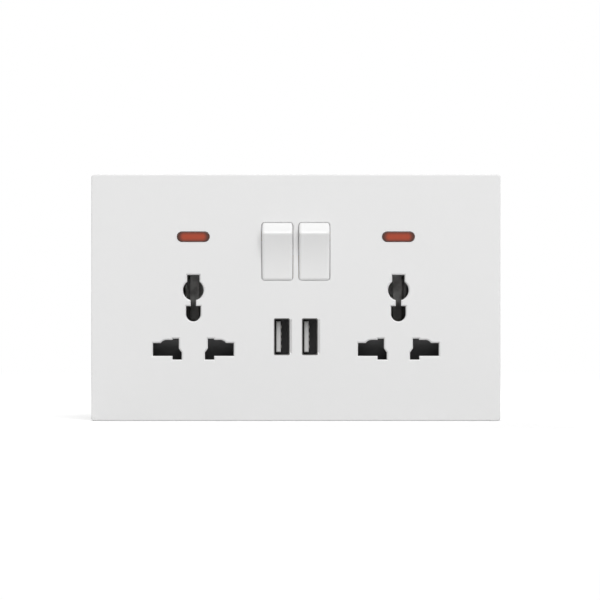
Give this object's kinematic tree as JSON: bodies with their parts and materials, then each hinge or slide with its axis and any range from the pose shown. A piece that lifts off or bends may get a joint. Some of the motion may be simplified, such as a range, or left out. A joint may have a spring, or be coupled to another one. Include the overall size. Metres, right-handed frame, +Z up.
{
  "type": "universal switched socket outlet with usb",
  "caption": "Screwless white wall outlet with shuttered universal pin slots, rocker switches, red neon indicators and upright USB-A outlets, for a flush wall box.",
  "frame": {"origin": "middle of the two wall-box screws, on the wall surface", "axes": "+X to the viewer's right, +Y into the wall, +Z up; the front faces -Y"},
  "size_m": [0.146, 0.0391, 0.088],
  "materials": {
    "cover_white": "satin-gloss moulded",
    "rocker_white": "gloss moulded",
    "frame_white": "matte moulded",
    "housing_white": "fine spark-eroded texture",
    "insert_black": "matte moulded",
    "insulator_grey": "matte moulded",
    "brass": "stamped, bright",
    "steel": "zinc plated",
    "plunger_nylon": "natural",
    "neon_red": "tinted, translucent",
    "lamp_glass": "clear",
    "resistor_tan": "lacquered",
    "wire_sleeve": "sleeved",
    "usb_steel": "black nickel",
    "usb_tongue": "moulded",
    "board_green": "solder mask",
    "ferrite": "sintered",
    "capacitor_can": "sleeved can",
    "chip_black": "moulded"
  },
  "bodies": {
    "root": {"front_cover": "cover_white", "mounting_frame": "frame_white", "rear_housing": "housing_white", "shutter_case_left": "insert_black", "shutter_case_right": "insert_black", "contact_cover_left": "insulator_grey", "contact_cover_right": "insulator_grey", "live_contact_left": "brass", "live_contact_right": "brass", "live_bar": "brass", "neutral_bar": "brass", "earth_bar": "brass", "live_terminal": "brass", "neutral_terminal": "brass", "earth_terminal_left": "brass", "earth_terminal_right": "brass", "usb_contacts_left": "brass", "usb_contacts_right": "brass", "housing_screws": "steel", "terminal_screws": "steel", "shutter_springs_left": "steel", "shutter_springs_right": "steel", "neon_lens_left": "neon_red", "neon_lens_right": "neon_red", "neon_lamp_left": "lamp_glass", "neon_lamp_right": "lamp_glass", "neon_resistor_left": "resistor_tan", "neon_resistor_right": "resistor_tan", "neon_wires_left": "wire_sleeve", "neon_wires_right": "wire_sleeve", "usb_shell_left": "usb_steel", "usb_shell_right": "usb_steel", "usb_insulator_left": "usb_tongue", "usb_insulator_right": "usb_tongue", "usb_board": "board_green", "usb_transformer": "ferrite", "usb_capacitors": "capacitor_can", "usb_controller": "chip_black"},
    "rocker_left": {"rocker_left": "rocker_white", "rocker_spring_left": "steel", "rocker_plunger_left": "plunger_nylon"},
    "rocking_contact_left": {"rocking_contact_left": "brass"},
    "shutter_left": {"shutter_left": "insert_black"},
    "rocker_right": {"rocker_right": "rocker_white", "rocker_spring_right": "steel", "rocker_plunger_right": "plunger_nylon"},
    "rocking_contact_right": {"rocking_contact_right": "brass"},
    "shutter_right": {"shutter_right": "insert_black"}
  },
  "joints": [
    {"name": "rocker_left_tip", "type": "hinge", "parent": "root", "child": "rocker_left", "pos_m": [-0.0066, -0.003, 0.01645], "axis": [1, 0, 0], "range_deg": [-24, 0]},
    {"name": "contact_left_tip", "type": "hinge", "parent": "root", "child": "rocking_contact_left", "pos_m": [-0.0066, 0.00616, 0.01645], "axis": [1, 0, 0], "range_deg": [0, 14]},
    {"name": "shutter_left_slide", "type": "slide", "parent": "root", "child": "shutter_left", "axis": [0, 0, 1], "range_m": [0, 0.0084], "stiffness_N_per_m": 125, "springref_m": -0.004, "deforming": ["shutter_springs_left"]},
    {"name": "rocker_right_tip", "type": "hinge", "parent": "root", "child": "rocker_right", "pos_m": [0.0066, -0.003, 0.01645], "axis": [1, 0, 0], "range_deg": [-24, 0]},
    {"name": "contact_right_tip", "type": "hinge", "parent": "root", "child": "rocking_contact_right", "pos_m": [0.0066, 0.00616, 0.01645], "axis": [1, 0, 0], "range_deg": [0, 14]},
    {"name": "shutter_right_slide", "type": "slide", "parent": "root", "child": "shutter_right", "axis": [0, 0, 1], "range_m": [0, 0.0084], "stiffness_N_per_m": 125, "springref_m": -0.004, "deforming": ["shutter_springs_right"]}
  ],
  "couplings": [
    {"joint": "contact_left_tip", "follows": "rocker_left_tip", "ratio": -0.58333},
    {"joint": "contact_right_tip", "follows": "rocker_right_tip", "ratio": -0.58333}
  ]
}
